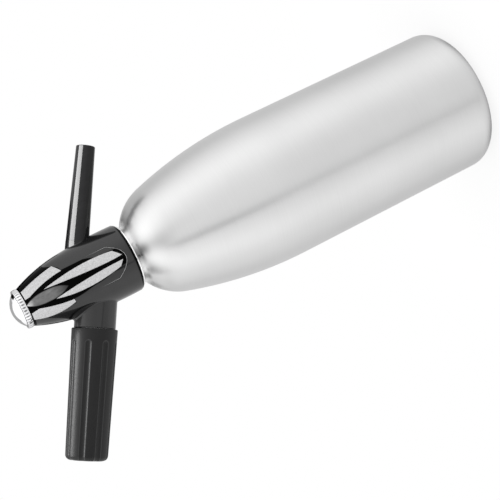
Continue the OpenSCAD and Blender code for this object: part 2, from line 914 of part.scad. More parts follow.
module charger_holder() {
    rim_r = holder_rim_d / 2;
    end_r = holder_end_d / 2;
    lean = atan((rim_r - end_r) / (holder_end - holder_foot));
    flute_z = holder_foot + flute_start;
    flute_at = rim_r - flute_start * tan(lean) + flute_r - flute_depth;
    color("#202020")
        along_holder()
            difference() {
                rotate_extrude()
                    polygon(concat(
                        [[0, holder_foot], [rim_r - edge_ease, holder_foot]],
                        [[rim_r, holder_foot + edge_ease]],
                        arc([end_r - holder_end_r, holder_end - holder_end_r], holder_end_r, 0, 90),
                        [[0, holder_end]]
                    ));
                bar(insert_d + 2 * insert_wall + 2 * slide_gap, holder_foot - 1, insert_end + slide_gap);
                bar(holder_bore_d, holder_foot, holder_floor);
                for (i = [0:flute_n - 1])
                    rotate([0, 0, 360 * (i + 0.5) / flute_n])
                        translate([flute_at, 0, flute_z])
                            rotate([0, -lean, 0]) {
                                sphere(r = flute_r);
                                cylinder(r = flute_r, h = through);
                            }
            }
}

module holder_insert() {
    color("silver")
        along_holder()
            tube(insert_d + 2 * insert_wall, insert_d, insert_foot, insert_end);
}

bottle_base();
bottle_side();
bottle_shoulder();
bottle_crown();
bottle_neck();
neck_gasket();
riser_tube();
riser_nut();
valve_body();
head_shell();
front_panel();
back_panel();
front_inner_stripes();
back_inner_stripes();
front_outer_stripes();
back_outer_stripes();
spout();
spout_washer();
valve_stem();
valve_seal();
valve_spring();
stem_o_ring();
gland_nut();
push_button();
button_collar();
charger_nipple();
nipple_washer();
check_valve();
piercing_pin();
charger_seal();
gas_charger();
charger_holder();
holder_insert();
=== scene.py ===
# %% [markdown]
# # A push-button soda siphon
# The siphon's solids come from its construction model and stay where they are. This lesson dresses
# them: it turns, wraps and flutes finer skins for what shows, mixes the finishes and lights the result.
# Everything is in one frame, so a skin needs no fitting. +Z runs up the bottle and +X to the spout.

# %% Load the solids
import json
import math

import bmesh
import bpy
from mathutils import Matrix, Vector

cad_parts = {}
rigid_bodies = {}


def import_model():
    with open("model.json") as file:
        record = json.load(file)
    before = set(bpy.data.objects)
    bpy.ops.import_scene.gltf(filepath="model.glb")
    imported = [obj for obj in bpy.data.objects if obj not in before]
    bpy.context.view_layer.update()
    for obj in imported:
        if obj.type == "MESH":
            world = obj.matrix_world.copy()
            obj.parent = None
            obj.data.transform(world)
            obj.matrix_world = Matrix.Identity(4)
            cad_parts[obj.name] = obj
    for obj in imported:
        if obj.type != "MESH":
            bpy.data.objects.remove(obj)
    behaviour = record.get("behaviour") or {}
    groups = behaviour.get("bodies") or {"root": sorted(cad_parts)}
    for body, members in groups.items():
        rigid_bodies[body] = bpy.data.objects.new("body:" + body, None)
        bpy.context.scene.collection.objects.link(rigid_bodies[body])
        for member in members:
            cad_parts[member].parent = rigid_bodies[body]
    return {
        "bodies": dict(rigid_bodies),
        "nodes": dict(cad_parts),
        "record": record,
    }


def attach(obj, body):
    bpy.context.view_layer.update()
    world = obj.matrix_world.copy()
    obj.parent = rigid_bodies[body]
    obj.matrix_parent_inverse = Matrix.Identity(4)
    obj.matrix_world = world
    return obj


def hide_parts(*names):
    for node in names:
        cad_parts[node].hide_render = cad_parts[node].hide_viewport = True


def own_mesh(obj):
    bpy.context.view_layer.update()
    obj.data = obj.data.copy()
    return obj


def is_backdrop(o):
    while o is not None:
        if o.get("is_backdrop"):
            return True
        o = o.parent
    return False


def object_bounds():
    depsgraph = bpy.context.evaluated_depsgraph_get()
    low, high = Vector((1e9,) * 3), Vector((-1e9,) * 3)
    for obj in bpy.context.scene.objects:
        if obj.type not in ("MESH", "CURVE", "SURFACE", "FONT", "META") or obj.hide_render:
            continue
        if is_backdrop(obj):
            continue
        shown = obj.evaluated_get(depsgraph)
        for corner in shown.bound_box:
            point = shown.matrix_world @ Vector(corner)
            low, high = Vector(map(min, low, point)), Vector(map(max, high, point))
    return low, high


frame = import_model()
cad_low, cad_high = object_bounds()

own = set(frame["nodes"].values()) | set(frame["bodies"].values())
for leftover in set(bpy.data.objects) - own:
    bpy.data.objects.remove(leftover)

# %% [markdown]
# ## Camera
# The picture shows the siphon tipped over, with its head to the lower left. The solids stand upright,
# so the camera is rolled instead. Its place, aim, roll and lens were found by fitting the outline of
# the bottle, which is a turned form and so gives away the direction that it is seen from.

# %% The camera
camera_at = Vector((0.0, -0.72396, 0.38614))
camera_aim = Vector((-0.02889, 0.0, 0.168625))
camera_roll = -2.041
camera_lens = 90.389

forward = (camera_aim - camera_at).normalized()
level = forward.cross(Vector((0, 0, 1))).normalized()
rise = level.cross(forward)
across = math.cos(camera_roll) * level + math.sin(camera_roll) * rise
upward = math.cos(camera_roll) * rise - math.sin(camera_roll) * level
camera = bpy.data.objects.new("camera", bpy.data.cameras.new("camera"))
camera.data.sensor_width = 36.0
camera.data.lens = camera_lens
camera.data.clip_start = 0.01
camera.matrix_world = Matrix.Translation(camera_at) @ Matrix((across, upward, -forward)).transposed().to_4x4()
bpy.context.scene.collection.objects.link(camera)
bpy.context.scene.camera = camera
bpy.context.scene.view_settings.view_transform = "Standard"
print("camera", round(camera_at.length, 3), "m from the foot of the bottle")

# %% [markdown]
# ## Shader sums in Python
# A finish is a small sum: so much roughness, plus a little where the brush has passed. Node by node
# such a sum is slow to read, so one class wraps a socket. Its operators add Math nodes, and its
# `node` method adds any other kind of node, with its settings first and then its sockets.


# %% A socket that can be added and multiplied
def feed(socket, value):
    """Links a signal to a socket, or sets the socket's own value."""
    if isinstance(value, Signal):
        socket.id_data.links.new(value.socket, socket)
    else:
        socket.default_value = value


class Signal:
    """An output socket that can be used in sums."""

    def __init__(self, socket):
        self.socket = socket

    def node(self, kind, settings, inputs, out=0):
        """Adds a node beside this signal and returns one of its outputs."""
        made = self.socket.id_data.nodes.new(kind)
        for key, value in settings.items():
            setattr(made, key, value)
        for key, value in inputs.items():
            feed(made.inputs[key], value)
        return Signal(made.outputs[out])

    def sum(self, operation, first, second):
        return self.node("ShaderNodeMath", {"operation": operation}, {0: first, 1: second})

    def __add__(self, other):
        return self.sum("ADD", self, other)

    __radd__ = __add__

    def __sub__(self, other):
        return self.sum("SUBTRACT", self, other)

    def __rsub__(self, other):
        return self.sum("SUBTRACT", other, self)

    def __mul__(self, other):
        return self.sum("MULTIPLY", self, other)

    __rmul__ = __mul__

    def parts(self):
        """The three parts of these coordinates."""
        return [self.node("ShaderNodeSeparateXYZ", {}, {0: self}, out=i) for i in range(3)]

    def run(self, operation):
        """A plain function of this signal."""
        return self.node("ShaderNodeMath", {"operation": operation}, {0: self})

    def stretched(self, x, y, z):
        """These coordinates, with each axis multiplied."""
        return self.node("ShaderNodeVectorMath", {"operation": "MULTIPLY"}, {0: self, 1: (x, y, z)})

    def noise(self, scale, detail=2.0):
        """Soft noise from 0 to 1 at these coordinates."""
        return self.node("ShaderNodeTexNoise", {}, {"Vector": self, "Scale": scale, "Detail": detail})

    def step(self, low, high):
        """0 below low, 1 above high and a smooth step between."""
        settings = {"interpolation_type": "SMOOTHSTEP"}
        return self.node("ShaderNodeMapRange", settings, {"Value": self, "From Min": low, "From Max": high})

    def hump(self, middle, width):
        """1 at a middle value, and less and less away from it."""
        off = (self - middle) * (1 / width)
        return (off * off * -1.0).run("EXPONENT")

    def tint(self, dark, light):
        """A colour that goes from dark to light with this signal."""
        inputs = {"Factor": self, 6: (*dark, 1.0), 7: (*light, 1.0)}
        return self.node("ShaderNodeMix", {"data_type": "RGBA"}, inputs, out=2)

    def bump(self, height, strength):
        """A normal that is rough by this signal, over a height in metres."""
        return self.node("ShaderNodeBump", {}, {"Height": self, "Distance": height, "Strength": strength})


print("signal operations:", [key for key in vars(Signal) if key.startswith("__r")])

# %% [markdown]
# ## Finishes
# Each finish starts as one Principled shader. What is the same all over goes on the shader's own
# sockets, and what varies is a sum on the object's coordinates, so it stays put in any view.


# %% Start a finish
finishes = {}


def finish(name, **constants):
    """A new material, its shader and the coordinates that its sums use."""
    material = finishes[name] = bpy.data.materials.new(name)
    material.use_nodes = True
    tree = material.node_tree
    shader = tree.nodes["Principled BSDF"]
    for key, value in constants.items():
        shader.inputs[key.replace("_", " ")].default_value = value
    return material, shader, Signal(tree.nodes.new("ShaderNodeTexCoord").outputs["Object"])


def dress(shader, **sockets):
    """Feeds the varying sockets of a shader."""
    for key, value in sockets.items():
        feed(shader.inputs[key.replace("_", " ")], value)


# %% [markdown]
# The bottle is turned aluminium. Its brush lines run round it, so light is thrown far along the bottle but
# little round it, which is why the highlights are long bands. The shader's anisotropy does that, and noise
# stretched round the bottle gives the single lines and a little cloudiness. The brush does not reach into the
# corner under the head, so the metal is chalky and less metallic there. Painted shade darkens that corner at
# three places round it, over a blotched tone, and painted dark streaks run from it onto the front of the
# crown and the shoulder. A painted sheen lifts the crown's colour a little. The bead above the corner is
# brighter and smoother.

# %% Satin aluminium
satin_aluminium, shader, place = finish("satin_aluminium", Anisotropic=0.75)
shader.inputs["Anisotropic Rotation"].default_value = 0.25
lines = place.stretched(40, 40, 2600).noise(1.0, 3.0)
fine = place.stretched(90, 90, 9000).noise(1.0, 2.0)
cloud = place.noise(22.0, 3.0)
x, y, z = place.parts()
azimuth = place.sum("ARCTAN2", x, y * -1.0) * math.degrees(1.0)
brushed = 1.0 - z.step(0.2318, 0.2335)
neck = z.step(0.2360, 0.2363)
corner = 1.0 - brushed - neck
bead = neck - z.step(0.2376, 0.2379)
# Painted sheen: the crown's colour is lifted a little.
crown_sheen = 0.10 * brushed * z.step(0.2200, 0.2310)
# Painted shade: darker patches at three places round the corner under the head, and dark streaks on the crown
# and shoulder, darken the metal's colour.
corner_shade = 0.62 * azimuth.hump(-56, 11) + 0.75 * azimuth.hump(-3, 18) + 0.65 * azimuth.hump(57, 9)
crown_shade_streaks = azimuth.hump(-1, 8) * (0.2 * z.step(0.2100, 0.2240) + 0.35 * z.step(0.2275, 0.2320))
crown_shade_streaks = crown_shade_streaks + 0.14 * azimuth.hump(-56, 14) * z.step(0.2200, 0.2260)
crown_shade_streaks = crown_shade_streaks + 0.10 * azimuth.hump(6, 7) * z.step(0.1850, 0.2250)
shade_and_blotches = corner * (corner_shade + 0.25 * place.noise(300.0, 2.0).step(0.5, 0.75)) + brushed * crown_shade_streaks
dress(
    shader,
    Base_Color=(0.62 + 0.06 * lines + 0.10 * cloud + 0.15 * corner + 0.3 * bead + crown_sheen) * (1.0 - shade_and_blotches),
    Metallic=1.0 - 0.7 * corner,
    Roughness=0.27 + 0.10 * lines + 0.08 * cloud + 0.05 * z.step(0.2150, 0.2310) - 0.25 * bead,
    Normal=(0.6 * lines + 0.4 * fine).bump(0.00004, 0.25),
)
print("satin aluminium:", len(satin_aluminium.node_tree.nodes), "nodes")

# %% [markdown]
# The head is a polished black moulding. It shows almost only reflections, so the base is nearly black, a thin
# clear coat adds to the shine, and faint wiping marks vary the roughness. Where the mesh carries its rim
# mark, a pale highlight is painted on the rim at the round end of a panel.
#
# A deep black is printed over the nose and round the pale stripes. It reflects less than the moulding, so it
# stays black where the rest turns grey. The print is drawn in the head's own terms: how far a spot is round
# the head from the middle of its side, and how high above its lower edge, both in mm. A pale flame-shaped
# highlight is painted into the print at the tip, and the same black is painted as shade in thin lines along
# the head's lower edge and round the collar.

# %% Where the print and the painted shade lines lie
gloss_black, shader, place = finish("gloss_black", Coat_Weight=0.2, Coat_Roughness=0.02, IOR=1.5)
x, y, z = place.parts()
radius = (x * x + y * y).run("SQRT")
angle = place.sum("ARCTAN2", x, y.run("ABSOLUTE"))
way_round, h = angle * radius * 1000.0, (z - 0.23763) * 1000.0
off_middle = way_round - 1.2
in_leaf = (h - 5.0 - 0.07 * off_middle * off_middle).step(0.0, 0.3)
under = (way_round + 3.0 + 3.4 * h.step(5, 27) + 1.9 * h.step(25, 40)).step(0.0, 0.4)
over = (8.0 + 2.9 * h.step(18, 29) - way_round).step(0.0, 0.4)
top_end = (h - 41.0 - 7.0 * angle.step(0.6, 1.2)).step(0.0, 0.4)
nose = top_end * angle.step(-0.60, -0.57)
# Painted shade: thin lines of the deep black along the head's lower edge and round the collar.
rims = h.step(64.8, 65.4) + 1.0 - h.step(1.0, 1.3)
print_and_edge_shade = place.sum("MAXIMUM", place.sum("MAXIMUM", in_leaf * under * over, nose), rims)
# Painted highlight: the rim mark lifts the colour of a panel's rim towards its round end.
worn = place.node("ShaderNodeAttribute", {"attribute_name": "worn"}, {}, out=2)

# %% The painted highlight in the print
# Painted highlight: a pale flame shape lifts the print's colour at the tip.
off_tip = place.sum("POWER", (h - 54.0).run("ABSOLUTE") * (1 / 13), 2.6)
off_line = (way_round - 0.3).run("ABSOLUTE") * (1 / 3.6)
tip_highlight_shape = (1.0 - off_tip - off_line).step(0.0, 0.22)
streak = place.stretched(1100, 1100, 160).noise(1.0, 2.0)
tip_highlight = tip_highlight_shape * (0.6 + 0.8 * streak) * (0.16 * h.step(37, 53) + 0.5 * h.step(61.5, 66.5))
deep_black = place.node("ShaderNodeBsdfPrincipled", {}, {
    "Base Color": tip_highlight.tint((0.0004, 0.0004, 0.0004), (1.0, 1.0, 1.0)),
    "IOR": 1.1,
    "Roughness": 0.06 + 0.3 * tip_highlight_shape,
})

# %% Gloss black
wiped = place.stretched(60, 60, 240).noise(1.0, 4.0)
dress(
    shader,
    Base_Color=(0.008 * wiped + worn).tint((0.003, 0.003, 0.0033), (0.75, 0.75, 0.755)),
    Roughness=0.06 + 0.09 * wiped + 0.2 * worn,
    Normal=place.noise(160.0, 1.0).bump(0.00004, 0.06),
)
moulding = Signal(shader.outputs[0])
mixed = place.node("ShaderNodeMixShader", {}, {0: print_and_edge_shade * (1.0 - worn), 1: moulding, 2: deep_black})
feed(gloss_black.node_tree.nodes["Material Output"].inputs["Surface"], mixed)
print("gloss black:", len(gloss_black.node_tree.nodes), "nodes")

# %% [markdown]
# The spout is moulded in the same black but has no clear coat, so it stays darker than the head.

# %% Spout black
spout_black, shader, place = finish("spout_black", IOR=1.36)
drawn = place.stretched(300, 300, 60).noise(1.0, 3.0)
dress(
    shader,
    Base_Color=drawn.tint((0.001, 0.001, 0.0011), (0.008, 0.008, 0.0085)),
    Roughness=0.05 + 0.06 * drawn,
)
print("spout black:", len(spout_black.node_tree.nodes), "nodes")

# %% [markdown]
# The charger holder is gripped by hand, so it has a fine moulded grain. Handling polishes the crests beside
# its flutes, and a pale highlight is painted along them. The mesh marks the crests with an attribute of its
# own named edge.

# %% Satin black
satin_black, shader, place = finish("satin_black", IOR=1.37)
grain = place.noise(2600.0, 2.0)
patch = place.noise(55.0, 3.0)
# Painted highlight: the edge mark lightens the colour of the crests beside the flutes.
edge = place.node("ShaderNodeAttribute", {"attribute_name": "edge"}, {}, out=2)
dress(
    shader,
    Base_Color=(0.06 * patch + 0.94 * edge).tint((0.004, 0.004, 0.0042), (0.045, 0.045, 0.046)),
    Roughness=0.30 + 0.14 * patch - 0.08 * edge,
    Normal=grain.bump(0.00008, 0.35),
)
print("satin black:", len(satin_black.node_tree.nodes), "nodes")

# %% [markdown]
# Chrome is a mirror with a few hairlines. On the knurled collar the grooves are darker and rougher, where the
# attribute groove marks them. On a piece without that attribute it reads 0 and changes nothing.

# %% Chrome
chrome, shader, place = finish("chrome", Metallic=1.0)
hair = place.stretched(900, 240, 500).noise(1.0, 3.0)
groove = place.node("ShaderNodeAttribute", {"attribute_name": "groove"}, {}, out=2)
dress(
    shader,
    Base_Color=groove.tint((0.88, 0.88, 0.89), (0.22, 0.22, 0.23)),
    Roughness=0.05 + 0.07 * hair + 0.35 * groove,
)
print("chrome:", len(chrome.node_tree.nodes), "nodes")

# %% [markdown]
# The pale stripes are silver foil paint: half metal, half pigment, with a visible grain.

# %% Silver trim
silver_trim, shader, place = finish("silver_trim", Metallic=0.2)
flake = place.noise(1500.0, 2.0)
dress(
    shader,
    Base_Color=flake.tint((0.30, 0.30, 0.305), (0.80, 0.80, 0.805)),
    Roughness=0.55 + 0.12 * flake,
    Normal=flake.bump(0.00004, 0.3),
)
print("silver trim:", len(silver_trim.node_tree.nodes), "nodes")

# %% [markdown]
# The pieces inside show only when the head or the holder is unscrewed. They are turned metal, moulded
# rubber and plastic, so a few recipes with other numbers make them all.


# %% Turned metals
def turned_metal(name, dark, light, roughness):
    """Metal with fine tool marks."""
    material, shader, place = finish(name, Metallic=1.0)
    marks = place.stretched(150, 150, 2200).noise(1.0, 3.0)
    dress(
        shader,
        Base_Color=marks.tint(dark, light),
        Roughness=roughness + 0.14 * marks,
        Normal=marks.bump(0.00005, 0.2),
    )
    print(name, "is turned metal:", len(material.node_tree.nodes), "nodes")


turned_metal("machined_aluminium", (0.62, 0.62, 0.64), (0.78, 0.78, 0.79), 0.24)
turned_metal("stainless_steel", (0.50, 0.50, 0.51), (0.66, 0.66, 0.67), 0.20)
turned_metal("zinc_steel", (0.58, 0.59, 0.61), (0.74, 0.75, 0.76), 0.30)
turned_metal("brass", (0.62, 0.42, 0.15), (0.78, 0.58, 0.27), 0.22)


# %% Moulded rubber and plastic
def moulded(name, dark, light, roughness, grain_scale):
    """Rubber or plastic with a moulded grain."""
    material, shader, place = finish(name)
    grain = place.noise(grain_scale, 3.0)
    dress(
        shader,
        Base_Color=grain.tint(dark, light),
        Roughness=roughness + 0.2 * grain,
        Normal=grain.bump(0.00005, 0.2),
    )
    print(name, "is moulded:", len(material.node_tree.nodes), "nodes")


moulded("black_rubber", (0.012, 0.012, 0.012), (0.03, 0.03, 0.03), 0.6, 900.0)
moulded("red_silicone", (0.38, 0.03, 0.025), (0.52, 0.06, 0.05), 0.45, 600.0)
moulded("white_plastic", (0.78, 0.79, 0.79), (0.88, 0.89, 0.89), 0.3, 500.0)

# %% [markdown]
# ## Every solid gets its finish
# The record names a material slot for each solid, and the finishes above carry the slots' names.

# %% Dress the solids
for subpart in frame["record"]["subparts"]:
    mesh = frame["nodes"][subpart["node"]].data
    mesh.materials.clear()
    mesh.materials.append(finishes[subpart["material_slot"]])

# %% [markdown]
# ## Turning
# Most of a siphon is turned: a profile is drawn as a few points and spun round an axis. Sharp corners
# look wrong in close light, so a corner may carry a radius, and `eased` rounds it before the spin.
# The pieces are drawn in millimetres, as on a workshop drawing, and scaled when they are finished.


# %% Helpers for turned pieces
def arc(centre, radius, first, last, steps):
    """Points on an arc, in degrees."""
    turns = [math.radians(first + (last - first) * i / steps) for i in range(steps + 1)]
    return [(centre[0] + radius * math.cos(a), centre[1] + radius * math.sin(a)) for a in turns]


def eased(corners, steps=5):
    """A profile through the corners. A third number in a corner is its radius."""
    path = []
    for i, (r, z, *radius) in enumerate(corners):
        corner = Vector((r, z))
        if not radius:
            path.append((r, z))
            continue
        before = (Vector(corners[i - 1][:2]) - corner).normalized()
        after = (Vector(corners[(i + 1) % len(corners)][:2]) - corner).normalized()
        half = before.angle(after) / 2
        centre = corner + (before + after).normalized() * radius[0] / math.sin(half)
        start = corner + before * radius[0] / math.tan(half) - centre
        end = corner + after * radius[0] / math.tan(half) - centre
        for k in range(steps + 1):
            path.append(tuple(centre + start.lerp(end, k / steps).normalized() * radius[0]))
    return path


def clean(bm):
    """Merges doubles and turns all faces outwards."""
    bmesh.ops.remove_doubles(bm, verts=bm.verts, dist=1e-4)
    bmesh.ops.recalc_face_normals(bm, faces=bm.faces)
    return bm


def turn(profile, steps=128, closed=True):
    """Spins a profile of (radius, height) round the Z axis."""
    bm = bmesh.new()
    ring = [bm.verts.new((r, 0, z)) for r, z in profile]
    pairs = list(zip(ring, ring[1:])) + ([(ring[-1], ring[0])] if closed else [])
    edges = [bm.edges.new(pair) for pair in pairs]
    bmesh.ops.spin(bm, geom=ring + edges, cent=(0, 0, 0), axis=(0, 0, 1), angle=math.tau, steps=steps,
                   use_merge=True)
    return clean(bm)


def make_piece(name, bm, body, slot, nodes=(), place=Matrix(), sharp=40, look=None):
    """Puts a bmesh drawn in millimetres into the scene, on a body and in place of its nodes."""
    bmesh.ops.transform(bm, matrix=Matrix.Scale(0.001, 4) @ place, verts=bm.verts)
    mesh = bpy.data.meshes.new(name)
    bm.to_mesh(mesh)
    bm.free()
    mesh.shade_smooth()
    mesh.set_sharp_from_angle(angle=math.radians(sharp))
    mesh.materials.append(finishes[look or slot])
    piece = bpy.data.objects.new(name, mesh)
    bpy.context.scene.collection.objects.link(piece)
    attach(piece, body)
    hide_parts(*nodes)
    print(f"{name}: {len(mesh.polygons)} faces on {body}")
    return piece


# %% [markdown]
# ## Bottle
# The bottle is one drawn can: a dished base on a ring foot, a rounded heel, a straight wall, a long
# shoulder and a tight crown. A small fillet leads from the crown into the neck, and the neck ends in
# a rolled bead and a thread. The profile goes up the outside and comes back down the inside.

# %% The bottle's profile
bottle_r, heel_r, foot_w, dish_depth, wall = 45.0, 11.5, 5.0, 5.0, 2.0
shoulder_at, shoulder_r, shoulder_turn, crown_r = 138.0, 262.0, 17.0, 33.0
neck_r, neck_fillet, bead_r, thread_r, thread_root, bore_r = 17.6, 2.0, 0.7, 16.5, 15.7, 14.0
rim_z, mouth_z, bead_z, bead_out = 237.63, 248.63, 236.83, 1.0

foot_r = bottle_r - heel_r
dish_r = foot_r - foot_w
dish_curve = (dish_r**2 + dish_depth**2) / (2 * dish_depth)
dish_turn = math.degrees(math.asin(dish_r / dish_curve))
shoulder_c = (bottle_r - shoulder_r, shoulder_at)
turned = math.radians(shoulder_turn)
crown_c = (shoulder_c[0] + (shoulder_r - crown_r) * math.cos(turned),
           shoulder_c[1] + (shoulder_r - crown_r) * math.sin(turned))
fillet_x = neck_r + neck_fillet
fillet_rise = math.sqrt((crown_r + neck_fillet)**2 - (fillet_x - crown_c[0])**2)
fillet_at = math.degrees(math.atan2(fillet_rise, fillet_x - crown_c[0]))
bore_at = math.degrees(math.acos((bore_r - crown_c[0]) / (crown_r - wall)))

outside = (
    arc((0, dish_depth - dish_curve), dish_curve, 90, 90 - dish_turn, 16)
    + arc((foot_r, heel_r), heel_r, -90, 0, 16)
    + [(bottle_r, z) for z in range(20, 138, 8)]
    + arc(shoulder_c, shoulder_r, 0, shoulder_turn, 24)
    + arc(crown_c, crown_r, shoulder_turn, fillet_at, 24)[1:]
    + arc((fillet_x, crown_c[1] + fillet_rise), neck_fillet, fillet_at + 180, 180, 8)[1:]
    + [(neck_r, bead_z - bead_r)]
    + arc((neck_r + bead_out, bead_z), bead_r, -90, 90, 8)
    + [(neck_r, bead_z + bead_r), (thread_root, bead_z + bead_r)]
    + eased([(thread_root, bead_z + 2), (thread_root, mouth_z, 0.6),
             (bore_r, mouth_z, 0.4), (bore_r, mouth_z - 3)])
)
inside = (
    arc(crown_c, crown_r - wall, bore_at, shoulder_turn, 12)
    + arc(shoulder_c, shoulder_r - wall, shoulder_turn, 0, 12)
    + arc((foot_r, heel_r), heel_r - wall, 0, -90, 8)
    + [(dish_r, wall), (0, dish_depth + wall)]
)
bottle_nodes = [name for name in frame["nodes"] if name.startswith("bottle")]
bottle = turn(outside + inside, steps=160, closed=False)
make_piece("bottle_can", bottle, "bottle", "satin_aluminium", bottle_nodes)

# %% [markdown]
# The neck's thread is a small ridge wound round the root of the neck. Spin does this too: with a lift
# at each step the profile climbs while it turns. The two ends are drawn in to the root, as a thread
# that is cut on a lathe runs out.


# %% Threads
def wind_thread(root, crest, pitch, first, turns, per_turn=72):
    """A ridge wound round the Z axis, from a height up."""
    bm = bmesh.new()
    half, flat = 0.36 * pitch, 0.08 * pitch
    sunk = root - 0.2
    outline = [(sunk, first - half), (crest, first - flat), (crest, first + flat), (sunk, first + half)]
    ring = [bm.verts.new((r, 0, z)) for r, z in outline]
    edges = [bm.edges.new(pair) for pair in zip(ring, ring[1:] + ring[:1])]
    steps = int(turns * per_turn)
    bmesh.ops.spin(bm, geom=ring + edges, cent=(0, 0, 0), axis=(0, 0, 1), dvec=(0, 0, pitch / per_turn),
                   angle=math.tau * turns, steps=steps)
    bm.verts.ensure_lookup_table()
    for i, vert in enumerate(bm.verts):
        share = min(i // 4, steps - i // 4) / (per_turn / 6)
        radius = vert.co.xy.length
        if radius > root and share < 1:
            drawn = root - 0.1 + (radius - root + 0.1) * share
            vert.co.xy *= drawn / radius
    bm.faces.new(bm.verts[:4])
    bm.faces.new(bm.verts[-4:])
    bmesh.ops.recalc_face_normals(bm, faces=bm.faces)
    return bm


neck_thread = wind_thread(thread_root, thread_r, pitch=3.0, first=240.6, turns=2.25)
make_piece("neck_thread", neck_thread, "bottle", "satin_aluminium")

# %% [markdown]
# ## Head
# The head is a barrel that runs on into a rounder nose. Its side is two arcs that meet without a
# corner. The same two arcs say where everything on the head lies, so they are kept as a function
# that gives a point of the side and the way that the surface faces there.

# %% The side of the head
head_r, barrel_r, belly_h, head_h, nose_h, nose_r = 21.0, 245.0, 9.3, 66.5, 27.0, 11.6
nose_at = head_h - nose_h
lean = math.asin((nose_at - belly_h) / barrel_r)
nose_p = Vector((head_r - barrel_r * (1 - math.cos(lean)), nose_at))
nose_run = Vector((nose_r, head_h)) - nose_p
nose_in = Vector((-math.cos(lean), -math.sin(lean)))
nose_curve = nose_run.length_squared / (2 * nose_run.dot(nose_in))
nose_c = nose_p + nose_curve * nose_in


def head_side(h):
    """The radius of the head at a height above its lower edge, and the outward direction there."""
    centre, radius = (Vector((head_r - barrel_r, belly_h)), barrel_r) if h < nose_at else (nose_c, nose_curve)
    r = centre.x + math.sqrt(radius**2 - (h - centre.y)**2)
    return r, (Vector((r, h)) - centre) / radius


nose_lean = math.degrees(math.asin(head_side(head_h)[1].y))
print("the nose leans in by", round(nose_lean, 1), "degrees at the collar")

# %% The head's skin
core_r, socket_r, ceiling_h = 18.85, 10.25, 20.2
rim_ease, rim_draw, nose_ease, side_steps = 1.4, 0.7, 0.3, 60
heights = [rim_ease + (head_h - nose_ease - rim_ease) * i / side_steps for i in range(side_steps + 1)]
side = [(head_side(h)[0], rim_z + h) for h in heights]
rim = eased([(core_r, rim_z), (head_side(0)[0] - rim_draw, rim_z, 0.45), side[0]])[1:-1]
inner = [(nose_r - 0.25, rim_z + head_h), (socket_r, rim_z + head_h), (socket_r, rim_z + ceiling_h),
         (core_r, rim_z + ceiling_h), (core_r, rim_z + 0.3), (core_r + 0.3, rim_z)]
head = turn(rim + side + inner, steps=160)
make_piece("head_moulding", head, "head", "gloss_black", ["head_shell"])

# %% [markdown]
# The boss for the charger holder and the root of the spout grow out of the head's side. A moulding
# never has a dead sharp inner corner there: a ball of the fillet's radius rolls round the joint. For
# each direction round the boss the ball's centre is found, and the fillet's rings lie on the ball.

# %% Slanted axes
holder_axis = Matrix.Translation((0, 0, 256.83)) @ Matrix.Rotation(math.radians(30.4 - 90), 4, "Y")
spout_axis = Matrix.Translation((0, 0, 273.03)) @ Matrix.Rotation(math.radians(90 + 31.6), 4, "Y")


def outside_head(point):
    """How far a point is outside the head's side, and the outward direction there."""
    r, facing = head_side(min(max(point.z - rim_z, 0), head_h))
    flat = point.xy.normalized()
    out = Vector((flat.x * facing.x, flat.y * facing.x, facing.y))
    return (point.xy.length - r) * facing.x, out


def rolling_ball(axis, radius, ball, angle, far):
    """The centre of a ball that touches both the head's side and a round bar along an axis."""
    side_way = Vector((math.cos(angle), math.sin(angle), 0)) * (radius + ball)
    low, high = 0.0, far
    for _ in range(40):
        middle = (low + high) / 2
        outside_by = outside_head(axis @ (side_way + Vector((0, 0, middle))))[0]
        low, high = (middle, high) if outside_by < ball else (low, middle)
    return side_way + Vector((0, 0, high))


def rooted_ring(bm, ring, placed):
    """Extrudes an open ring of edges and moves the new ring to its places."""
    made = bmesh.ops.extrude_edge_only(bm, edges=ring)["geom"]
    new = [edge for edge in made if isinstance(edge, bmesh.types.BMEdge)]
    for vert in {vert for edge in new for vert in edge.verts}:
        vert.co = placed(math.atan2(vert.co.y, vert.co.x))
    return new


def rooted_bar(axis, radius, ball, far, bore, end_ease, steps=96):
    """A round bar that grows out of the head's side along an axis, with a fillet at its root."""
    sunk_to, inner_end = 0.9, far * 0.6

    def on_bar(r, t):
        return lambda a: Vector((r * math.cos(a), r * math.sin(a), t))

    def on_ball(share):
        def place(a):
            centre = rolling_ball(axis, radius, ball, a, far)
            to_bar = Vector((-math.cos(a), -math.sin(a), 0))
            to_head = -(axis.to_3x3().inverted() @ outside_head(axis @ centre)[1])
            return centre + to_bar.slerp(to_head, share) * ball
        return place

    def sunk(a):
        return on_ball(1.0)(a) * sunk_to

    bm = bmesh.new()
    start = bmesh.ops.create_circle(bm, segments=steps, radius=bore)["verts"]
    bmesh.ops.translate(bm, verts=start, vec=(0, 0, far))
    ring = list({edge for vert in start for edge in vert.link_edges})
    first = ring
    for corner in eased([(bore, far), (radius, far, end_ease), (radius, 0)])[1:-1]:
        ring = rooted_ring(bm, ring, on_bar(*corner))
    for share in (0.0, 0.2, 0.4, 0.6, 0.8, 1.0):
        ring = rooted_ring(bm, ring, on_ball(share))
    ring = rooted_ring(bm, ring, sunk)
    ring = rooted_ring(bm, ring, on_bar(bore, inner_end))
    bmesh.ops.bridge_loops(bm, edges=first + ring)
    return clean(bm)


# %% The boss
boss = rooted_bar(holder_axis, radius=12.05, ball=1.2, far=33.3, bore=6.45, end_ease=0.4)
make_piece("charger_boss", boss, "head", "gloss_black", place=holder_axis)

# %% [markdown]
# ## Spout
# The spout is a tapered tube with a square-cut end. It is turned lying along the bottle's axis and
# then laid along its own, and its bore is open to the tip. Its root is filleted as the boss is.

